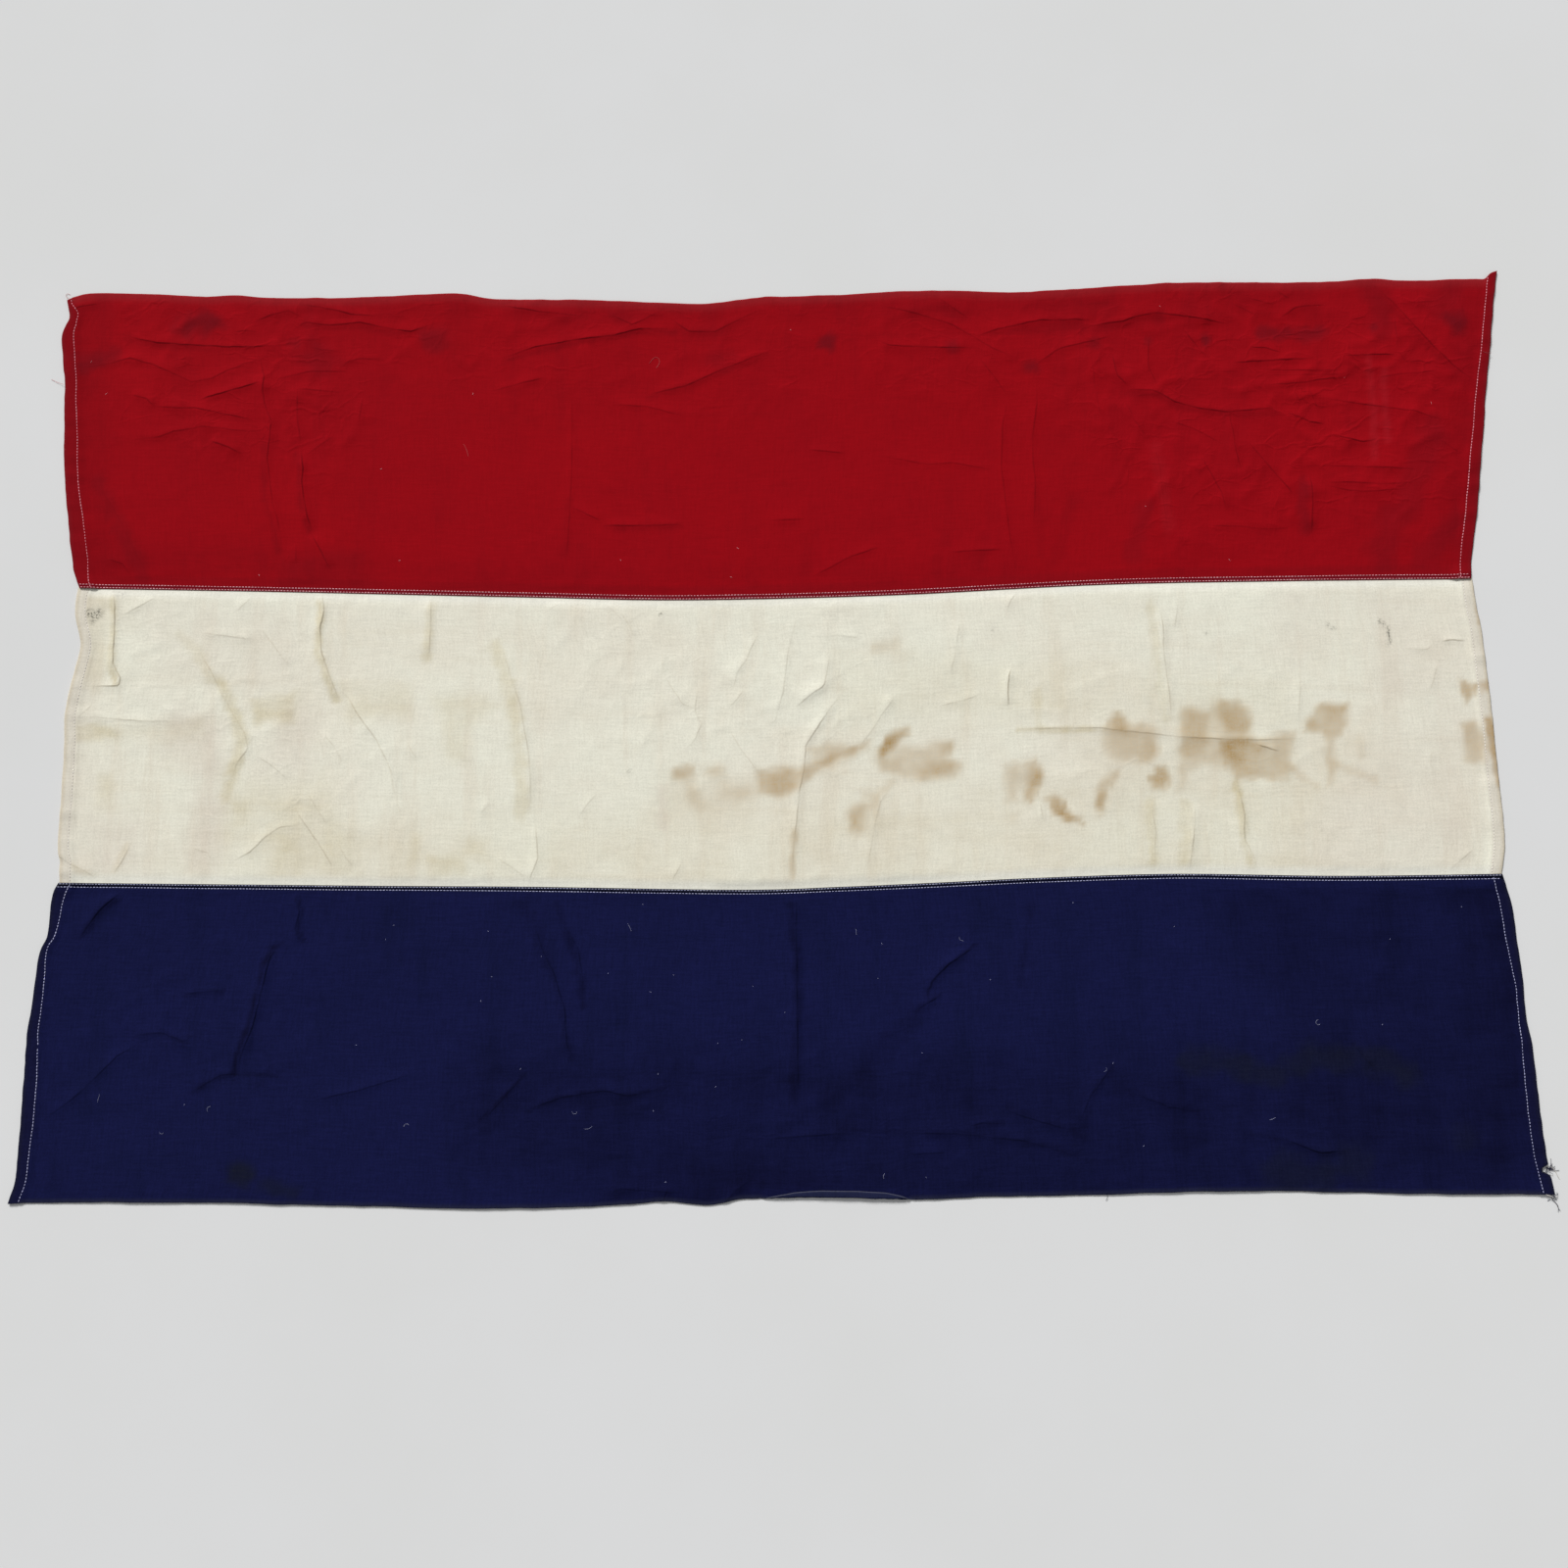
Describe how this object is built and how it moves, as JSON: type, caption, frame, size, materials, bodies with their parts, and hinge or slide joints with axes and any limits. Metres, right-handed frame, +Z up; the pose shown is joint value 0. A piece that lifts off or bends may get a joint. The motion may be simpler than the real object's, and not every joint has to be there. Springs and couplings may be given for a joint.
{
  "type": "tattered cotton flag laid out flat",
  "caption": "Worn cotton flag of sewn red, white and blue stripes with hemmed ends, spread flat with its creases and stains.",
  "frame": {"origin": "middle of the flag's outline, on the surface that it lies on", "axes": "+X along the stripes, +Y from the blue stripe to the red stripe, +Z up from the surface"},
  "size_m": [1.52, 0.9621, 0.0068],
  "materials": {
    "red_cotton": "matt plain weave, deep red, creased, with a few darker stains",
    "white_cotton": "matt plain weave, cream white, creased, with tan water stains",
    "blue_cotton": "matt plain weave, dark navy, creased, with dull olive stains and lint"
  },
  "bodies": {
    "root": {"red_stripe": "red_cotton", "white_stripe": "white_cotton", "blue_stripe": "blue_cotton"}
  },
  "joints": []
}
